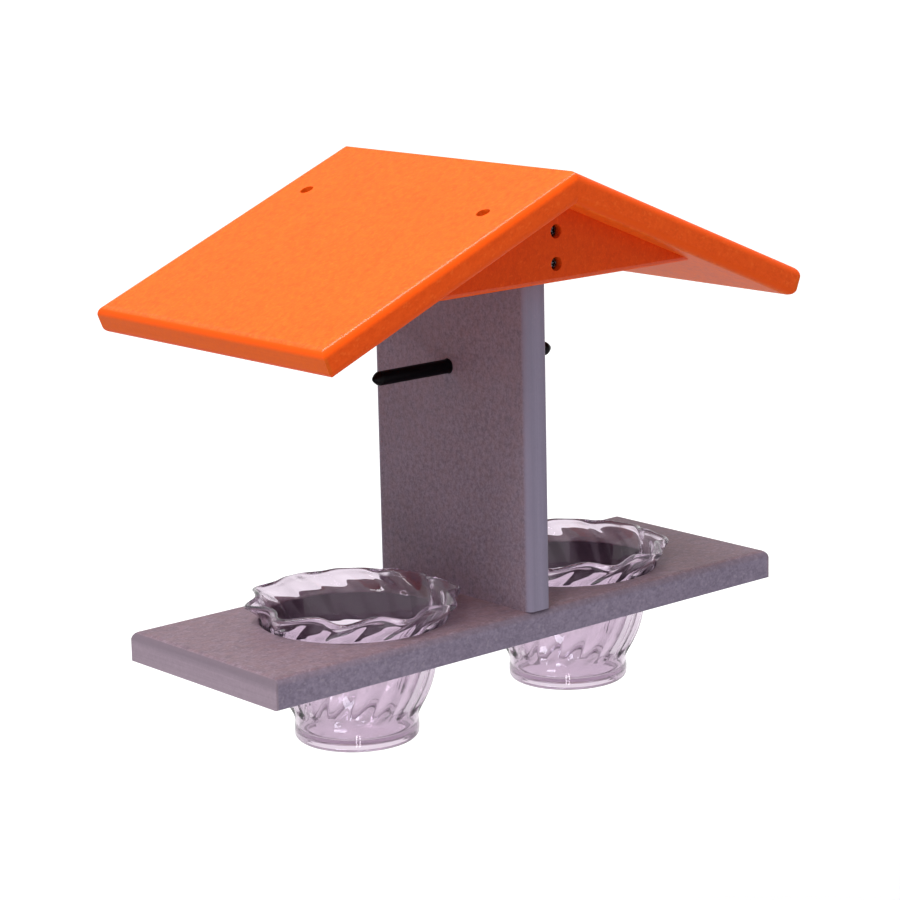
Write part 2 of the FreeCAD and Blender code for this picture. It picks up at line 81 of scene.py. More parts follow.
TRAY_SCREW_ROW = BOARD_WIDTH / 2 - TRAY_SCREW_INSET
QUARTER = math.pi / 2


# Meshes from grids of points

SHARP_BEND = math.radians(50)
SCREW_SHARP_BEND = math.radians(40)


def add_mesh(name, points, faces, sharp=SHARP_BEND):
    """Mesh of points in millimetres, shaded smooth except across edges bent more than an angle."""
    mesh = bpy.data.meshes.new(name)
    mesh.from_pydata((points * MM).tolist(), [], faces)
    mesh.shade_smooth()
    mesh.set_sharp_from_angle(angle=sharp)
    mesh.validate()
    piece = bpy.data.objects.new(name, mesh)
    scene.collection.objects.link(piece)
    return piece


def turned_faces(rows, columns):
    """Faces of a round grid: quads between rows that close on themselves, and a fan to each end's pole."""
    row = np.arange(rows - 1)[:, None] * columns
    here = np.arange(columns)[None, :]
    following = (here + 1) % columns
    quads = np.stack([row + here, row + following, row + columns + following, row + columns + here], -1)
    last = (rows - 1) * columns
    first_pole = np.full(columns, rows * columns)
    first_fan = np.stack([first_pole, following[0], here[0]], -1)
    last_fan = np.stack([last + here[0], last + following[0], first_pole + 1], -1)
    return quads.reshape(-1, 4).tolist() + first_fan.tolist() + last_fan.tolist()


def turned_points(radius, height, angle, first_height, last_height):
    """Points of a round grid from radius and height at each row and angle, with its two poles last."""
    ring = np.stack([radius * np.cos(angle), radius * np.sin(angle), height], -1).reshape(-1, 3)
    poles = np.array([[0.0, 0.0, first_height], [0.0, 0.0, last_height]])
    return np.vstack([ring, poles])


def round_angles(columns):
    """Even angles round a full turn, as one row."""
    return np.linspace(0, 2 * math.pi, columns, endpoint=False)[None, :]


def smooth_line(points, count):
    """Natural cubic spline through points, read at even steps of its chord length."""
    points = np.asarray(points, float)
    knots = np.r_[0, np.cumsum(np.hypot(*np.diff(points, axis=0).T))]
    gap = np.diff(knots)
    size = len(points)
    system = np.eye(size)
    bend = np.zeros_like(points)
    inner = np.arange(1, size - 1)
    system[inner, inner - 1] = gap[:-1]
    system[inner, inner] = 2 * (gap[:-1] + gap[1:])
    system[inner, inner + 1] = gap[1:]
    slope = np.diff(points, axis=0) / gap[:, None]
    bend[inner] = 6 * np.diff(slope, axis=0)
    curve = np.linalg.solve(system, bend)
    spot = np.linspace(0, knots[-1], count)
    span = np.clip(np.searchsorted(knots, spot, side="right") - 1, 0, size - 2)
    after = (spot - knots[span])[:, None]
    before = (knots[span + 1] - spot)[:, None]
    width = gap[span][:, None]
    return (
        curve[span] * before**3 / (6 * width)
        + curve[span + 1] * after**3 / (6 * width)
        + (points[span] / width - curve[span] * width / 6) * before
        + (points[span + 1] / width - curve[span + 1] * width / 6) * after
    )


def arc(centre, radius, start, end, count):
    """Points of a circle's arc between two angles in degrees."""
    angle = np.radians(np.linspace(start, end, count))
    return np.stack([centre[0] + radius * np.cos(angle), centre[1] + radius * np.sin(angle)], -1)


def straight(start, end, count):
    """Evenly spaced points or numbers from a start to an end."""
    return np.linspace(start, end, count)


def ease(value):
    """Smooth step from 0 to 1."""
    value = np.clip(value, 0, 1)
    return value * value * (3 - 2 * value)


# Shader nodes

def fill(tree, item, values):
    """Sets a node's inputs, by name or number, to numbers, colours or sockets to link."""
    for key, value in dict(values).items():
        if isinstance(value, bpy.types.NodeSocket):
            tree.links.new(value, item.inputs[key])
        else:
            item.inputs[key].default_value = value


def put(tree, kind, values=(), **settings):
    """Adds a node with its settings and inputs."""
    item = tree.nodes.new(kind)
    for name, value in settings.items():
        setattr(item, name, value)
    fill(tree, item, values)
    return item


def calc(tree, operation, *values):
    """Result of a math node."""
    return put(tree, "ShaderNodeMath", enumerate(values), operation=operation).outputs[0]


def noise(tree, place, scale, detail=2.0, roughness=0.5):
    """Value of a noise at a place."""
    values = {"Vector": place, "Scale": scale, "Detail": detail, "Roughness": roughness}
    return put(tree, "ShaderNodeTexNoise", values).outputs[0]


def spread(tree, value, low, high, first=0.0, last=1.0):
    """Maps a value from a range to another, held at its ends and eased between them."""
    values = {0: value, 1: low, 2: high, 3: first, 4: last}
    return put(tree, "ShaderNodeMapRange", values, interpolation_type="SMOOTHSTEP").outputs[0]


def blend(tree, factor, first, second):
    """Mix of two colours by a factor."""
    return put(tree, "ShaderNodeMix", {0: factor, 6: first, 7: second}, data_type="RGBA").outputs[2]


def tone_ramp(tree, value, tones):
    """Colour that runs through evenly spaced tones as a value goes from 0 to 1."""
    ramp = put(tree, "ShaderNodeValToRGB", {0: value})
    elements = ramp.color_ramp.elements
    elements[0].color = (*tones[0], 1)
    elements[1].color = (*tones[-1], 1)
    for i, tone in enumerate(tones[1:-1], 1):
        elements.new(i / (len(tones) - 1)).color = (*tone, 1)
    return ramp.outputs[0]


def new_group(name, inputs, outputs):
    """Empty shader group with its sockets; returns the tree, its inputs and its output node."""
    group = bpy.data.node_groups.new(name, "ShaderNodeTree")
    for label, kind in inputs:
        group.interface.new_socket(label, in_out="INPUT", socket_type=f"NodeSocket{kind}")
    for label, kind in outputs:
        group.interface.new_socket(label, in_out="OUTPUT", socket_type=f"NodeSocket{kind}")
    source = group.nodes.new("NodeGroupInput")
    sink = group.nodes.new("NodeGroupOutput")
    return group, source.outputs, sink


def use(tree, group, values):
    """Adds a group to a tree, fills its inputs and returns its outputs."""
    item = tree.nodes.new("ShaderNodeGroup")
    item.node_tree = group
    fill(tree, item, values)
    return item.outputs


def new_material(name):
    """New material with its node tree and its shader."""
    material = bpy.data.materials.new(name)
    material.use_nodes = True
    tree = material.node_tree
    return material, tree, tree.nodes["Principled BSDF"]


def stretch_axes(tree, place, factors):
    """Place with each axis multiplied by its own factor."""
    return put(tree, "ShaderNodeVectorMath", {0: place, 1: factors}, operation="MULTIPLY").outputs[0]


def relief(tree, height, strength, depth):
    """Normal bent by a height of 0 to 1 over a depth in millimetres."""
    values = {"Strength": strength, "Distance": depth * MM, "Height": height}
    return put(tree, "ShaderNodeBump", values).outputs[0]


def wash(tree, colour, mask, share, tone):
    """Colour blended towards a plain tone by a mask times a share."""
    return blend(tree, calc(tree, "MULTIPLY", mask, share), colour, (*tone, 1))


# Mottle of the boards: scales of its noises, the grains in parts of the sheet's own, then shares and ranges

BROAD_SCALE = 45.0
FINE_GRAIN = 2.6
TINT_GRAIN = 0.55
FLECK_GRAIN = 1.3
BROAD_SHARE = 0.12
MIDDLE_SHARE = 0.53
FINE_SHARE = 0.35
RELIEF_MIDDLE = 0.6
RELIEF_FINE = 0.4
SHADE_RANGE = (0.38, 0.62)
TINT_RANGE = (0.36, 0.66)
FLECK_RANGE = (0.62, 0.74)


def make_mottle():
    """Clouded colour of moulded sheet: noises at a broad, a grain and a fine scale added up, and flecks."""
    group, given, sink = new_group(
        "sheet_mottle",
        [("Place", "Vector"), ("Grain", "Float")],
        [("Shade", "Float"), ("Tint", "Float"), ("Fleck", "Float"), ("Height", "Float")],
    )
    place, grain = given["Place"], given["Grain"]
    broad = noise(group, place, BROAD_SCALE)
    middle = noise(group, place, grain, detail=3.0, roughness=0.6)
    fine = noise(group, place, calc(group, "MULTIPLY", grain, FINE_GRAIN))
    hue = noise(group, place, calc(group, "MULTIPLY", grain, TINT_GRAIN))
    spots = noise(group, place, calc(group, "MULTIPLY", grain, FLECK_GRAIN), detail=1.0)
    mixed = calc(group, "MULTIPLY_ADD", broad, BROAD_SHARE, calc(group, "MULTIPLY", middle, MIDDLE_SHARE))
    mixed = calc(group, "MULTIPLY_ADD", fine, FINE_SHARE, mixed)
    shade = {0: mixed, 1: SHADE_RANGE[0], 2: SHADE_RANGE[1], 3: 0.0, 4: 1.0}
    height = calc(group, "MULTIPLY", middle, RELIEF_MIDDLE)
    fill(group, sink, {
        "Shade": put(group, "ShaderNodeMapRange", shade).outputs[0],
        "Tint": spread(group, hue, *TINT_RANGE),
        "Fleck": spread(group, spots, *FLECK_RANGE),
        "Height": calc(group, "MULTIPLY_ADD", fine, RELIEF_FINE, height),
    })
    return group


# Where the masks of a board's edges start and end, in parts of its round, 0 being the outer face

EDGE_START = (-0.6, -0.2)
ROUND_START = (-0.99, -0.9)
ROUTED_START = (-0.5, -0.34)
ROUTED_FADE = (-1.1, -0.5)
END_TOP_SHADE_FADE = (-1.8, -0.4)


def make_board_edges():
    """Masks of a board's long edges, its ends and the rounds along them, from a place in its own axes.

    Each distance is how far the place lies past the flat of the board, in parts of the round's radius. The
    routed colour starts sharply half way round and fades down the edge, and the glint lies before it. The
    end top mask holds painted shade on the upper part of the two ends, and fades further down.
    """
    sizes = [(label, "Float") for label in ("Length", "Width", "Middle", "Half", "Round")]
    masks = [(label, "Float") for label in ("Side", "End", "Routed", "Glint", "EndTopShade")]
    group, given, sink = new_group("board_edges", [("Place", "Vector")] + sizes, masks)
    parts = put(group, "ShaderNodeSeparateXYZ", {0: given["Place"]}).outputs

    def past(coordinate, limit):
        """How far a coordinate lies past a limit, in parts of the round."""
        distance = calc(group, "SUBTRACT", calc(group, "ABSOLUTE", coordinate), given[limit])
        return calc(group, "DIVIDE", distance, given["Round"])

    along = past(parts[0], "Length")
    across = past(parts[1], "Width")
    above = calc(group, "SUBTRACT", parts[2], given["Middle"])
    through = past(above, "Half")
    outward = calc(group, "MAXIMUM", along, across)
    turned = spread(group, outward, *ROUTED_START)
    below = spread(group, through, *ROUTED_FADE)
    end_turned = spread(group, along, *ROUTED_START)
    before = calc(group, "SUBTRACT", 1.0, turned)
    glint = calc(group, "MULTIPLY", spread(group, outward, *ROUND_START), before)
    glint = calc(group, "MULTIPLY", glint, calc(group, "GREATER_THAN", above, 0.0))
    fill(group, sink, {
        "Side": spread(group, across, *EDGE_START),
        "End": spread(group, along, *EDGE_START),
        "Routed": calc(group, "MULTIPLY", turned, below),
        "Glint": calc(group, "MULTIPLY", glint, below),
        # Painted shade on the upper part of the ends, fading downwards.
        "EndTopShade": calc(group, "MULTIPLY", end_turned, spread(group, through, *END_TOP_SHADE_FADE)),
    })
    return group


MOTTLE = make_mottle()
BOARD_EDGES = make_board_edges()

# Finishes of the boards: tones from dark to pale, and the share of each effect

# The long edges' cooler tones are partly their own and partly painted light, a bluish reflection from the
# front.
ORANGE = {
    "face": [(0.81, 0.088, 0.0035), (0.93, 0.12, 0.007), (1.0, 0.16, 0.0135)],
    "side": [(0.8, 0.077, 0.0043), (0.88, 0.092, 0.0067), (0.93, 0.11, 0.0103)],
    "end": [(0.71, 0.094, 0.0067), (0.765, 0.113, 0.0086), (0.82, 0.132, 0.0115)],
    "tint": (0.96, 0.15, 0.013),
    "tint_share": 0.35,
    "fleck": (1.0, 0.185, 0.03),
    "fleck_share": 0.3,
    "routed": (0.97, 0.098, 0.0025),
    "routed_share": 0.8,
    "gloss": 0.3,
    "drawn": 0.3,
    "sawn": 0.65,
}
# The gable's copy of the orange is darker and redder: painted shade under the roof's overhang, and painted
# orange light bounced from under the eaves.
ORANGE_GABLE_PAINTED_SHADE = {
    **ORANGE,
    "face": [(0.705, 0.0563, 0.0025), (0.775, 0.0686, 0.0038), (0.83, 0.0836, 0.0059)],
    "tint": (0.79, 0.075, 0.0034),
    "fleck_share": 0.2,
}
GREY = {
    "face": [(0.185, 0.1315, 0.1675), (0.244, 0.1755, 0.219), (0.308, 0.229, 0.2825)],
    "side": [(0.203, 0.1665, 0.2365), (0.258, 0.213, 0.297), (0.32, 0.27, 0.3655)],
    "end": [(0.258, 0.198, 0.246), (0.318, 0.245, 0.301), (0.383, 0.297, 0.362)],
    "tint": (0.286, 0.1835, 0.201),
    "tint_share": 0.4,
    "fleck": (0.39, 0.34, 0.4),
    "fleck_share": 0.3,
    "routed": (0.19, 0.138, 0.165),
    "routed_share": 0.4,
    "gloss": 0.0,
    "drawn": 0.15,
    "sawn": 0.75,
}
GREY_TRAY = {
    **GREY,
    # Hole walls: partly their own sawn tone, partly painted shade inside the holes.
    "bore_and_shade": (0.15, 0.11, 0.138),
    # Painted shade for the upper part of the ends.
    "end_top_shade": (0.165, 0.13, 0.165),
}
# The post's copy of the grey is bluer on its face, and paler and bluer on its long edges: painted cool
# light from the front.
GREY_UPRIGHT_PAINTED_LIGHT = {
    **GREY,
    "face": [(0.183, 0.1376, 0.1833), (0.242, 0.1866, 0.243), (0.3026, 0.239, 0.306)],
    "side": [(0.268, 0.233, 0.328), (0.302, 0.264, 0.366), (0.336, 0.296, 0.404)],
    "tint_share": 0.22,
    "fleck_share": 0.12,
    "routed": (0.2, 0.172, 0.235),
    "routed_share": 0.25,
    "drawn": 0.8,
}

# How patterns are drawn out along a board's own axes, and the shares of its masks

ALONG = (0.8, 1, 1)
EVEN = (0.95, 1, 1)
DRAWN = (0.02, 1, 1)
DRAWN_SCALE = 1500.0
SAWN = (1, 0.02, 1)
SAWN_SCALE = 1100.0
END_SHARE = 0.95
END_TOP_SHADE_SHARE = 0.6
BORE_SLACK = 0.1
ROUGH_LEAST = 0.44
ROUGH_SPAN = 0.08
BOARD_BUMP = 0.2
BOARD_RELIEF = 0.4


def hole_wall_shade_mask(tree, place):
    """1 on the walls of the two cup holes, from the distance to the nearer hole's axis; they take a darker
    tone, partly their own sawn tone and partly painted shade.
    """
    parts = put(tree, "ShaderNodeSeparateXYZ", {0: place}).outputs
    along = calc(tree, "SUBTRACT", calc(tree, "ABSOLUTE", parts[0]), CUP_SIDE * MM)
    squares = calc(tree, "MULTIPLY_ADD", along, along, calc(tree, "MULTIPLY", parts[1], parts[1]))
    return calc(tree, "LESS_THAN", calc(tree, "SQRT", squares), (HOLE_RADIUS + BORE_SLACK) * MM)


def streaked(tree, shade, place, factors, scale, share):
    """Shade mixed by a share with a noise that is drawn out along one axis."""
    lines = noise(tree, stretch_axes(tree, place, factors), scale)
    return put(tree, "ShaderNodeMix", {0: share, 2: shade, 3: lines}).outputs[0]


def board_material(name, finish, origin, turn, edges, stretch, grain):
    """Moulded sheet seen along its own axes.

    The faces are mottled, the long edges are cooler and have drawn lines, the ends have strokes of the saw,
    and the rounds along them are routed. The cooler tone of the long edges is partly their own and partly
    painted light from the front. The tray also has painted shade on the tops of its ends, and darker holes,
    partly their own sawn tone and partly painted shade.
    """
    material, tree, shader = new_material(name)
    coordinates = put(tree, "ShaderNodeTexCoord").outputs["Object"]
    axes = {"Vector": coordinates, "Location": origin, "Rotation": turn}
    place = put(tree, "ShaderNodeMapping", axes, vector_type="TEXTURE").outputs[0]
    mottle = use(tree, MOTTLE, {"Place": stretch_axes(tree, place, stretch), "Grain": grain})
    masks = use(tree, BOARD_EDGES, {"Place": place, **{key: size * MM for key, size in edges.items()}})
    shade = mottle["Shade"]
    colour = tone_ramp(tree, shade, finish["face"])
    colour = wash(tree, colour, mottle["Tint"], finish["tint_share"], finish["tint"])
    # Long edges: drawn lines, and a cooler tone that is partly painted light from the front.
    drawn = streaked(tree, shade, place, DRAWN, DRAWN_SCALE, finish["drawn"])
    colour = blend(tree, masks["Side"], colour, tone_ramp(tree, drawn, finish["side"]))
    sawn = streaked(tree, shade, place, SAWN, SAWN_SCALE, finish["sawn"])
    end_share = calc(tree, "MULTIPLY", masks["End"], END_SHARE)
    colour = blend(tree, end_share, colour, tone_ramp(tree, sawn, finish["end"]))
    fleck = calc(tree, "MULTIPLY", mottle["Fleck"], calc(tree, "SUBTRACT", 1.0, masks["End"]))
    colour = wash(tree, colour, fleck, finish["fleck_share"], finish["fleck"])
    colour = wash(tree, colour, masks["Routed"], finish["routed_share"], finish["routed"])
    # Painted shade darkens the upper part of the tray's ends, most at their top edge.
    if "end_top_shade" in finish:
        colour = wash(tree, colour, masks["EndTopShade"], END_TOP_SHADE_SHARE, finish["end_top_shade"])
    # The hole walls get a darker tone: partly the sawn bore's own, partly painted shade inside the holes.
    if "bore_and_shade" in finish:
        colour = blend(tree, hole_wall_shade_mask(tree, place), colour, (*finish["bore_and_shade"], 1))
    bump = relief(tree, mottle["Height"], BOARD_BUMP, BOARD_RELIEF)
    fill(tree, shader, {
        "Base Color": colour,
        "Roughness": calc(tree, "MULTIPLY_ADD", shade, ROUGH_SPAN, ROUGH_LEAST),
        "Specular IOR Level": 0.1,
        "Coat Weight": calc(tree, "MULTIPLY", masks["Glint"], finish["gloss"]),
        "Coat Roughness": 0.1,
        "Normal": bump,
    })
    return material


# Places of the boards, and where their own edges lie; an edge that a board lacks is far away

FAR = 2000.0
POST_BAND = 5.5
ROOF_EDGES = {
    "Length": SLOPE_LENGTH,
    "Width": ROOF_DEPTH / 2,
    "Middle": -BOARD / 2,
    "Half": BOARD / 2,
    "Round": ROOF_ROUND,
}
GABLE_EDGES = {
    "Length": GABLE_DEPTH,
    "Width": FAR,
    "Middle": 0.0,
    "Half": GABLE_OUTER,
    "Round": GABLE_ROUND,
}
TRAY_EDGES = {
    "Length": TRAY_LENGTH / 2,
    "Width": BOARD_WIDTH / 2,
    "Middle": 0.0,
    "Half": BOARD,
    "Round": TRAY_ROUND,
}
POST_EDGES = {
    "Length": FAR,
    "Width": BOARD_WIDTH / 2,
    "Middle": 0.0,
    "Half": BOARD / 2,
    "Round": POST_BAND,
}
RIDGE = (0, 0, RIDGE_HEIGHT * MM)
UNDER_RIDGE = (0, 0, INNER_RIDGE * MM)
BASE = (0, 0, 0)
SLOPE_LEFT = (0, -ROOF_ANGLE, 0)
SLOPE_RIGHT = (0, ROOF_ANGLE, 0)
FACING_FRONT = (QUARTER, QUARTER, 0)
LEVEL = (0, 0, 0)
UPRIGHT = (0, QUARTER, 0)
SHEET_GRAIN = 420
GABLE_GRAIN = 480
POST_GRAIN = 460

orange_left = board_material(
    "orange_roof_left", ORANGE, RIDGE, SLOPE_LEFT, ROOF_EDGES, ALONG, SHEET_GRAIN,
)
orange_right = board_material(
    "orange_roof_right", ORANGE, RIDGE, SLOPE_RIGHT, ROOF_EDGES, ALONG, SHEET_GRAIN,
)
orange_gable_painted_shade = board_material(
    "orange_gable_painted_shade", ORANGE_GABLE_PAINTED_SHADE, UNDER_RIDGE, FACING_FRONT, GABLE_EDGES, EVEN, GABLE_GRAIN,
)
grey_tray = board_material("grey_tray", GREY_TRAY, BASE, LEVEL, TRAY_EDGES, ALONG, SHEET_GRAIN)
grey_post_painted_light = board_material("grey_post_painted_light", GREY_UPRIGHT_PAINTED_LIGHT, BASE, UPRIGHT, POST_EDGES, EVEN, POST_GRAIN)

# Finishes of the peg, the screws and the cups

MOST_NOISE = (0.3, 0.7)
PEG_DRAWN = (0.12, 1, 1)
PEG_LINES = 900.0
PEG_TONES = [(0.0012, 0.0009, 0.0014), (0.004, 0.003, 0.0045)]
PEG_ROUGHNESS = (0.28, 0.4)
PEG_BUMP = 0.12
PEG_RELIEF = 0.2
SMUDGES = 700.0
# The steel's dark tones are painted shade, standing in for the dark surroundings that the steel reflects.
STEEL_TONES = [(0.05, 0.045, 0.052), (0.13, 0.12, 0.13)]
STEEL_ROUGHNESS = (0.18, 0.32)
MOULD_WAVES = 70.0
CUP_TONES = [(0.69, 0.6, 0.69), (0.765, 0.68, 0.76)]
CUP_ROUGHNESS = (0.02, 0.05)
CUP_BUMP = 0.05
CUP_RELIEF = 1.0
CUP_BODY = (0.47, 0.32, 0.46, 1)
CUP_DENSITY = 34.0
LIP_SOFT_START = 19.5
LIP_SOFT_END = 21.5
LIP_SOFT = 0.12


def make_peg_black():
    """Satin black coating with faint drawn lines along the rod."""
    material, tree, shader = new_material("black_satin")
    place = put(tree, "ShaderNodeTexCoord").outputs["Object"]
    lines = noise(tree, stretch_axes(tree, place, PEG_DRAWN), PEG_LINES, detail=3.0)
    fill(tree, shader, {
        "Base Color": tone_ramp(tree, lines, PEG_TONES),
        "Roughness": spread(tree, lines, *MOST_NOISE, *PEG_ROUGHNESS),
        "Specular IOR Level": 0.06,
        "Normal": relief(tree, lines, PEG_BUMP, PEG_RELIEF),
    })
    return material


def make_screw_steel():
    """Steel, a little smudged, whose dark tone is painted shade: the dark surroundings that the sunk heads
    reflect.
    """
    material, tree, shader = new_material("dark_steel")
    place = put(tree, "ShaderNodeTexCoord").outputs["Object"]
    smudge = noise(tree, place, SMUDGES, detail=4.0)
    fill(tree, shader, {
        "Base Color": tone_ramp(tree, smudge, STEEL_TONES),
        "Roughness": spread(tree, smudge, *MOST_NOISE, *STEEL_ROUGHNESS),
        "Metallic": 1.0,
    })
    return material


def make_cup_clear():
    """Clear moulded plastic that takes up green light, with slow waves of the mould and a softer lip."""
    material, tree, shader = new_material("clear_cup")
    place = put(tree, "ShaderNodeTexCoord").outputs["Object"]
    waves = noise(tree, place, MOULD_WAVES)
    height = put(tree, "ShaderNodeSeparateXYZ", {0: place}).outputs[2]
    soft = spread(tree, height, LIP_SOFT_START * MM, LIP_SOFT_END * MM, 0.0, LIP_SOFT)
    fill(tree, shader, {
        "Base Color": tone_ramp(tree, waves, CUP_TONES),
        "Roughness": calc(tree, "ADD", spread(tree, waves, *MOST_NOISE, *CUP_ROUGHNESS), soft),
        "Transmission Weight": 1.0,
        "IOR": 1.49,
        "Specular Tint": (0.95, 0.9, 0.97, 1),
        "Normal": relief(tree, waves, CUP_BUMP, CUP_RELIEF),
    })
    body = put(tree, "ShaderNodeVolumeAbsorption", {"Color": CUP_BODY, "Density": CUP_DENSITY})
    tree.links.new(body.outputs[0], tree.nodes["Material Output"].inputs["Volume"])
    return material


BLACK = make_peg_black()
STEEL = make_screw_steel()
CLEAR = make_cup_clear()

BOARD_FINISHES = {
    "roof_panel_left": orange_left,
    "roof_panel_right": orange_right,
    "gable_front": orange_gable_painted_shade,
    "gable_rear": orange_gable_painted_shade,
    "base_tray": grey_tray,
    "post_board": grey_post_painted_light,
}
for name, finish in BOARD_FINISHES.items():
    slots = nodes[name].data.materials
    slots.clear()
    slots.append(finish)


def stand_in(piece, material, body, node):
    """Gives a piece its material and lets it ride on a body in place of a node."""
    piece.data.materials.append(material)
    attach(piece, body)
    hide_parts(node)


# Cups

SEAT = 53.5
CUP_FOOT = BOARD - SEAT
CUP_WALL = 2.0
CUP_FLOOR = 5.3
FLOOR_RADIUS = 24.2
FLOOR_CORNER = 1.0
RECESS = 3.0
RECESS_RADIUS = 21.0
RECESS_CORNER = 1.0
FOOT_INNER = 22.4
FOOT_OUTER = 24.86
FOOT_ROUND = 2.5
POLE_RING = 1.5
ROW_GAP = 0.3
COLLAR = 11.5
RIM = 63.1
RIM_RADIUS = 45.2
CUP_OUTLINE = [
    (27.38, 3.1), (27.38, 4.8), (27.25, 8.4), (28.1, 12.0), (30.2, 16.0), (32.2, 20.0),
    (34.75, 27.5), (37.6, 43.5), (41.0, SEAT), (RIM_RADIUS, RIM),
]
OUTLINE_ROWS = 110
LIP_BEAD = 0.7
BEAD_START = SEAT + 6.6
BEAD_RUN = 2.2
LOBES = 10
LOBE_LEAN = 0.3
RIM_RIPPLE = 2.5
RIM_POINT = 0.45
RIM_WAVE = 0.7
RIM_TWIST = 14.0
FLUTES = 20
FLUTE_LEAN = 0.6
FLUTE_DEPTH = 1.0
FLUTE_POWER = 1.2
FLUTE_ROUND_END = 2.5
FLUTE_RUN = 4.0
FLUTE_TOP = 55.5
FLUTE_FADE = 6.0
CUP_COLUMNS = 320
CUP_TURNS = ((-1, "left", 26.9), (1, "right", 20.4))


def cup_profile():
    """Radius, height and fluting share of each row of a cup.

    The rows run from the underside's middle out, up the outside, over the lip and down inside. The outside
    is a spline from the foot to the rim. The inside is that line moved in by the wall, down to a thin floor
    over a hollow foot. Both swell to a bead under the lip.
    """
    under = np.vstack([
        straight((POLE_RING, RECESS), (RECESS_RADIUS - 0.2, RECESS), 7),
        arc((RECESS_RADIUS, RECESS - RECESS_CORNER), RECESS_CORNER, 90, 0, 7),
        straight((FOOT_INNER - ROW_GAP, RECESS - 1.2), (FOOT_INNER, ROW_GAP), 4),
    ])
    foot = np.vstack([
        straight((FOOT_INNER + ROW_GAP, 0.0), (FOOT_OUTER - 0.26, 0.0), 3),
        arc((FOOT_OUTER, FOOT_ROUND), FOOT_ROUND, -90, 0, 12),
    ])
    outside = smooth_line(CUP_OUTLINE, OUTLINE_ROWS)
    run = np.gradient(outside, axis=0)
    run /= np.hypot(*run.T)[:, None]
    across = np.stack([-run[:, 1], run[:, 0]], -1)
    kept = np.hypot(*(outside - outside[-1]).T) > CUP_WALL / 2
    bead = LIP_BEAD * ease((outside[:, 1:] - BEAD_START) / BEAD_RUN)
    inside = (outside + across * (CUP_WALL + bead / 2))[kept]
    outside = (outside - across * bead / 2)[kept]
    lip_middle = (outside[-1] + inside[-1]) / 2
    lip_start = math.degrees(math.atan2(*(outside[-1] - lip_middle)[::-1]))
    lip = arc(lip_middle, np.hypot(*(outside[-1] - lip_middle)), lip_start, lip_start + 180, 15)[1:-1]
    inside = inside[::-1]
    inside = inside[inside[:, 1] > CUP_FLOOR + FLOOR_CORNER + 0.5]
    floor = np.vstack([
        arc((FLOOR_RADIUS, CUP_FLOOR + FLOOR_CORNER), FLOOR_CORNER, 0, -90, 8),
        straight((FLOOR_RADIUS - 0.4, CUP_FLOOR), (POLE_RING, CUP_FLOOR), 7),
    ])
    rows = np.vstack([under, foot, outside, lip, inside, floor])
    share = np.zeros(len(rows))
    first = len(under) + len(foot)
    share[first:first + len(outside)] = 1.0
    return rows[:, 0], rows[:, 1], share


def make_cup(name, side, rim_turn):
    """Bowl whose rim waves in ten lobes and whose outside carries twenty leaning scoops.

    The columns of the grid lean with the scoops. A row's lobes grow from the seat to the rim by a smooth
    step: radius falls and height rises with the cosine of the lobe angle, and a cosine of twice that angle
    points the outer lobes. A scoop is a power of a sine across its flute, broad between two narrow ridges,
    starts in a round end above the collar and fades out under the rim.
    """
    radius, height, share = (column[:, None] for column in cup_profile())
    rise = np.clip((height - SEAT) / (RIM - SEAT), 0, 1)
    growth = ease(rise)
    turn = np.radians(rim_turn - (1 - rise) * RIM_TWIST - np.clip(SEAT - height, 0, None) * FLUTE_LEAN)
    column = round_angles(CUP_COLUMNS)
    lobe = LOBES * column
    lobing = RIM_RIPPLE * np.cos(lobe - LOBE_LEAN) - RIM_POINT * np.cos(2 * lobe + LOBE_LEAN)
    scoop = np.abs(np.sin(FLUTES / 2 * column)) ** FLUTE_POWER
    starting = ease((height - COLLAR - FLUTE_ROUND_END * (1 - scoop)) / FLUTE_RUN)
    reach = starting * (1 - ease((height - FLUTE_TOP) / FLUTE_FADE))
    final_radius = radius - growth * lobing - share * FLUTE_DEPTH * scoop * reach
    final_height = height + growth * RIM_WAVE * np.cos(lobe)
    points = turned_points(final_radius, final_height, column + turn, RECESS, CUP_FLOOR)
    points += np.array([side * CUP_SIDE, 0.0, CUP_FOOT])
    return add_mesh(name, points, turned_faces(len(radius), CUP_COLUMNS))


for side, label, turn in CUP_TURNS:
    cup = make_cup(f"fluted_cup_{label}", side, turn)
    stand_in(cup, CLEAR, f"{label}_cup", f"cup_{label}")

# Fruit peg

PEG_HEIGHT = 115.6
PEG_RADIUS = 3.175
PEG_GRIP = 3.4
PEG_HOLD = 6.4
PEG_STEP = 0.2
PEG_GAP = 0.3
PEG_LEFT = 49.6
PEG_RIGHT = 55.4
PEG_TAPER = 4.0
NOSE_ROWS = 16
NOSE_BEND = 1.35
NOSE_POWER = 0.8
PEG_COLUMNS = 48


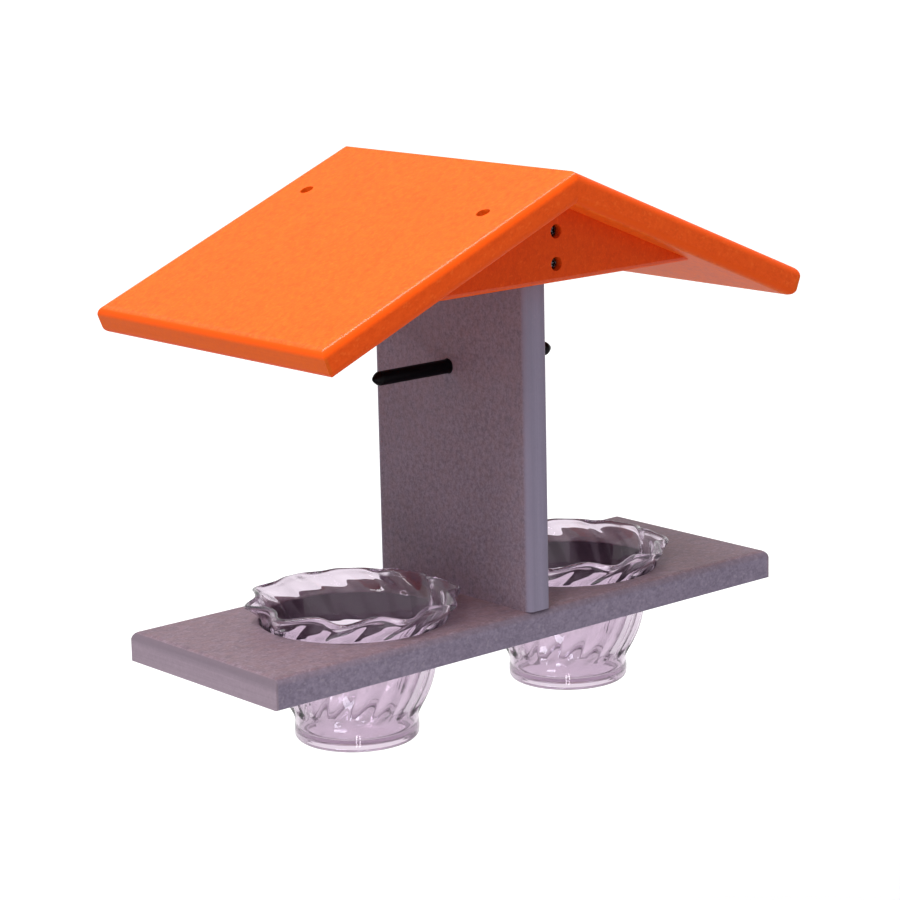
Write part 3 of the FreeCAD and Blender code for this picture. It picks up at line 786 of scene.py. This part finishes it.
def make_peg():
    """Rod turned about the X axis, with a blunt nose at both ends and a thicker middle inside the post.

    The nose's radius is a power of one less a power of the part of the taper that is left.
    """
    nose = np.linspace(0.03, 1, NOSE_ROWS)
    ogive = PEG_RADIUS * (1 - (1 - nose) ** NOSE_BEND) ** NOSE_POWER
    outer_hold = PEG_HOLD + PEG_STEP
    hold = np.array([-outer_hold, -PEG_HOLD, PEG_HOLD, outer_hold])
    grip = np.array([PEG_RADIUS, PEG_GRIP, PEG_GRIP, PEG_RADIUS])
    left = straight(-PEG_LEFT + PEG_TAPER + PEG_GAP, -outer_hold - PEG_GAP, 24)
    right = straight(outer_hold + PEG_GAP, PEG_RIGHT - PEG_TAPER - PEG_GAP, 26)
    along = np.concatenate([
        -PEG_LEFT + PEG_TAPER * nose, left, hold, right, PEG_RIGHT - PEG_TAPER * nose[::-1],
    ])[:, None]
    radius = np.concatenate([
        ogive, np.full(len(left), PEG_RADIUS), grip, np.full(len(right), PEG_RADIUS), ogive[::-1],
    ])[:, None]
    angle = round_angles(PEG_COLUMNS)
    points = turned_points(radius, along * np.ones_like(angle), angle, -PEG_LEFT, PEG_RIGHT)
    points = points[:, [2, 0, 1]] + np.array([0.0, 0.0, PEG_HEIGHT])
    return add_mesh("pointed_fruit_peg", points, turned_faces(len(radius), PEG_COLUMNS))


stand_in(make_peg(), BLACK, "feeder_frame", "fruit_peg")

# Screws

ROOF_SCREW = 22.0
GABLE_SCREW = 28.0
TRAY_SCREW = 32.0
SHANK = 1.75
THREAD_DEPTH = 0.42
THREAD_PITCH = 1.6
THREAD_SLOPE = 1.7
THREAD_START = 1.0
THREAD_RUN = 2.0
SCREW_POINT = 5.0
POINT_POWER = 0.8
ROWS_PER_MM = 6
HEAD = 2.8
HEAD_HEIGHT = 2.4
HEAD_SIDE = 0.95
DOME_POWER = 2.6
SKIRT = [(HEAD, 0.55), (HEAD - 0.02, 0.22), (HEAD - 0.16, 0.05), (HEAD - 0.4, 0.0), (SHANK + 0.15, 0.0)]
SLOT_HALF = 0.52
SLOT_EDGE = 0.22
SLOT_REACH = 1.6
SLOT_END = 0.4
SLOT_DEPTH = 1.35
SLOT_RISE = 0.35
SCREW_COLUMNS = 64


def screw_points(length, spin):
    """Pan head screw, head up, seat at height 0.

    The head's dome is a root of one less a power of the radius. A cross of two slots sinks into it, deepest
    in the middle. The shank's radius is a triangle wave of height less turn, which winds the thread, and
    narrows to the point.
    """
    angle = round_angles(SCREW_COLUMNS)
    # Fine rows over the cross, and coarser ones out to the head's edge
    reach = np.r_[straight(0.12, 1.9, 20), straight(2.0, HEAD, 9)][:, None]
    fall = np.minimum(reach / HEAD, 1.0) ** DOME_POWER
    dome = HEAD_SIDE + (HEAD_HEIGHT - HEAD_SIDE) * np.sqrt(1 - fall)
    across = np.abs(reach * np.cos(angle + spin))
    along = np.abs(reach * np.sin(angle + spin))
    slot_a = ease((SLOT_HALF - across) / SLOT_EDGE) * ease((SLOT_REACH - along) / SLOT_END)
    slot_b = ease((SLOT_HALF - along) / SLOT_EDGE) * ease((SLOT_REACH - across) / SLOT_END)
    depth = SLOT_DEPTH - SLOT_RISE * reach / SLOT_REACH
    head_height = dome - np.maximum(slot_a, slot_b) * depth
    head_radius = np.broadcast_to(reach, head_height.shape)
    skirt = np.array(SKIRT)
    drop = np.linspace(0.15, length - 0.1, int(length * ROWS_PER_MM))[:, None]
    wave = np.abs(np.mod(drop / THREAD_PITCH + angle / (2 * math.pi), 1.0) * 2 - 1)
    narrowing = np.clip((length - drop) / SCREW_POINT, 0, 1) ** POINT_POWER
    start = ease((drop - THREAD_START) / THREAD_RUN)
    thread = start * (1 - np.clip(wave * THREAD_SLOPE, 0, 1))
    shank_radius = (SHANK - THREAD_DEPTH * start + THREAD_DEPTH * thread) * narrowing
    flat = np.ones_like(angle)
    radius = np.vstack([head_radius, skirt[:, :1] * flat, shank_radius])
    height = np.vstack([head_height, skirt[:, 1:] * flat, -drop * flat])
    return turned_points(radius, height, angle, float(head_height[0, 0]), -length), len(radius)


def make_screw(node, length, seat, turn, spin):
    """Screw with its seat at a point and its head turned to a direction."""
    points, rows = screw_points(length, spin)
    faces = [face[::-1] for face in turned_faces(rows, SCREW_COLUMNS)]
    points = points @ np.array(turn.to_3x3()).T + np.array(seat)
    screw = add_mesh(f"threaded_{node}", points, faces, SCREW_SHARP_BEND)
    stand_in(screw, STEEL, "feeder_frame", node)


# Places of the screws; each next cross is turned on by a step, so that no two lie alike

FIRST_SPIN = 0.35
ROOF_SPIN = 0.9
GABLE_SPIN = 0.7
TRAY_SPIN = 0.8
PANELS = (("left", -1), ("right", 1))
ENDS = (("front", -1), ("rear", 1))
LEVELS = (("lower", 0.0), ("upper", GABLE_SCREW_STEP))
TRAY_SPOTS = (("front_outer", -1), ("front_inner", -1 / 3), ("rear_inner", 1 / 3), ("rear_outer", 1))

spin = FIRST_SPIN
for panel_side, way in PANELS:
    across = way * (ROOF_SCREW_DROP * math.cos(ROOF_ANGLE) - ROOF_SINK * math.sin(ROOF_ANGLE))
    height = RIDGE_HEIGHT - ROOF_SCREW_DROP * math.sin(ROOF_ANGLE) - ROOF_SINK * math.cos(ROOF_ANGLE)
    turn = Matrix.Rotation(way * ROOF_ANGLE, 4, "Y")
    for end, sign in ENDS:
        spin += ROOF_SPIN
        seat = (across, sign * ROOF_SCREW_ROW, height)
        make_screw(f"roof_screw_{panel_side}_{end}", ROOF_SCREW, seat, turn, spin)
for end, sign in ENDS:
    turn = Matrix.Rotation(-sign * QUARTER, 4, "X")
    for level, rise in LEVELS:
        spin += GABLE_SPIN
        seat = (0, sign * GABLE_SEAT, GABLE_SCREW_LOW + rise)
        make_screw(f"gable_screw_{end}_{level}", GABLE_SCREW, seat, turn, spin)
for spot, along in TRAY_SPOTS:
    spin += TRAY_SPIN
    seat = (0, along * TRAY_SCREW_ROW, TRAY_SINK)
    make_screw(f"tray_screw_{spot}", TRAY_SCREW, seat, Matrix.Rotation(math.pi, 4, "X"), spin)

# Studio

FLOOR_HEIGHT = -0.4
FLOOR_REACH = 30.0
FLOOR_GREY = (0.6, 0.6, 0.6, 1)
GLOW_START = 0.6
GLOW_END = 1.5
GLOW_UNDER = 0.4
GLOW_AROUND = 0.85
SOFT_LIGHT = 0.5
WHITE_LIGHT = 1.0
WHITE = (1, 1, 1, 1)
COOL_WHITE = (0.86, 0.9, 1.0)


def seen_rays(tree):
    """1 for rays that come from the camera, a gloss or a clear piece."""
    path = put(tree, "ShaderNodeLightPath").outputs
    shiny = calc(tree, "MAXIMUM", path["Is Glossy Ray"], path["Is Transmission Ray"])
    return calc(tree, "MAXIMUM", path["Is Camera Ray"], shiny)


def make_floor():
    """Pale floor that looks white, with a soft shadow under the object, and glows more further out."""
    mesh = bpy.data.meshes.new("studio_floor")
    ways = [(-1, -1), (1, -1), (1, 1), (-1, 1)]
    corners = [(x * FLOOR_REACH, y * FLOOR_REACH, FLOOR_HEIGHT) for x, y in ways]
    mesh.from_pydata(corners, [], [(0, 1, 2, 3)])
    floor = bpy.data.objects.new("studio_floor", mesh)
    scene.collection.objects.link(floor)
    material, tree, shader = new_material("studio_white")
    place = put(tree, "ShaderNodeTexCoord").outputs["Object"]
    distance = put(tree, "ShaderNodeVectorMath", {0: place}, operation="LENGTH").outputs["Value"]
    glow = spread(tree, distance, GLOW_START, GLOW_END, GLOW_UNDER, GLOW_AROUND)
    fill(tree, shader, {
        "Base Color": FLOOR_GREY,
        "Roughness": 0.9,
        "Specular IOR Level": 0.0,
        "Emission Color": WHITE,
        "Emission Strength": calc(tree, "MULTIPLY", seen_rays(tree), glow),
    })
    mesh.materials.append(material)


def make_world():
    """White for the camera, a gloss or a clear piece, and a plain soft light for everything else."""
    world = bpy.data.worlds.new("studio_world")
    scene.world = world
    world.use_nodes = True
    tree = world.node_tree
    tree.nodes.clear()
    soft = put(tree, "ShaderNodeBackground", {"Color": WHITE, "Strength": SOFT_LIGHT})
    white = put(tree, "ShaderNodeBackground", {"Color": WHITE, "Strength": WHITE_LIGHT})
    mix = put(tree, "ShaderNodeMixShader", {0: seen_rays(tree), 1: soft.outputs[0], 2: white.outputs[0]})
    put(tree, "ShaderNodeOutputWorld", {0: mix.outputs[0]})


def add_lamp(name, place, target, width, height, power, in_gloss_only=False):
    """Rectangular softbox that faces a target. If asked, it lights only gloss and clear pieces."""
    data = bpy.data.lights.new(name, "AREA")
    data.shape = "RECTANGLE"
    data.size = width
    data.size_y = height
    data.energy = power
    data.color = COOL_WHITE if in_gloss_only else WHITE[:3]
    lamp = bpy.data.objects.new(name, data)
    lamp.visible_camera = False
    lamp.visible_diffuse = not in_gloss_only
    scene.collection.objects.link(lamp)
    lamp.location = place
    lamp.rotation_euler = (Vector(target) - Vector(place)).to_track_quat("-Z", "Y").to_euler()


make_floor()
make_world()

# The softboxes light the boards. The low panels and front strips give the cups their bright patches.

MIDDLE = (0, 0, 0.1)
LEFT_CALF = (-0.087, -0.023, -0.015)
RIGHT_CALF = (0.04, -0.021, -0.021)

add_lamp("key_softbox", (-1.08, -0.27, 1.52), MIDDLE, width=0.9, height=0.9, power=27)
add_lamp("top_softbox", (0.17, -0.09, 1.78), MIDDLE, width=0.5, height=0.5, power=9)
add_lamp(
    "low_panel_left", (-0.40, -0.10, -0.33), LEFT_CALF,
    width=0.16, height=0.09, power=0.38, in_gloss_only=True,
)
add_lamp(
    "low_panel_right", (-0.09, -0.08, -0.36), RIGHT_CALF,
    width=0.09, height=0.05, power=0.11, in_gloss_only=True,
)
add_lamp("front_strip_left", (-0.623, -0.651, -0.23), MIDDLE, width=0.03, height=0.25, power=0.35)
add_lamp("front_strip_right", (-0.555, -0.709, -0.23), MIDDLE, width=0.03, height=0.25, power=0.35)

# Camera, placed from the boards' edges in the photograph

FOCAL_PIXELS = 2854.665
IMAGE_PIXELS = 900
SENSOR_WIDTH = 36.0
VIEW_TURN = math.radians(-40.868)
VIEW_RISE = math.radians(12.428)
VIEW_ROLL = math.radians(-1.272)
VIEW_SHIFT = (-6.388, 74.960)
VIEW_DISTANCE = 1282.887


def make_camera():
    """Camera on a sphere round the origin, rolled about its view and slid sideways and up."""
    level = Vector((math.cos(VIEW_TURN), math.sin(VIEW_TURN), 0))
    outward = Vector((math.sin(VIEW_TURN), -math.cos(VIEW_TURN), 0))
    back = outward * math.cos(VIEW_RISE) + Vector((0, 0, math.sin(VIEW_RISE)))
    upright = back.cross(level)
    right = level * math.cos(VIEW_ROLL) + upright * math.sin(VIEW_ROLL)
    up = upright * math.cos(VIEW_ROLL) - level * math.sin(VIEW_ROLL)
    data = bpy.data.cameras.new("photo_camera")
    data.sensor_width = SENSOR_WIDTH
    data.lens = FOCAL_PIXELS / IMAGE_PIXELS * SENSOR_WIDTH
    camera = bpy.data.objects.new("photo_camera", data)
    scene.collection.objects.link(camera)
    place = (right * VIEW_SHIFT[0] + up * VIEW_SHIFT[1] + back * VIEW_DISTANCE) * MM
    turn = Matrix((right, up, back)).transposed().to_4x4()
    camera.matrix_world = Matrix.Translation(place) @ turn
    scene.camera = camera


make_camera()
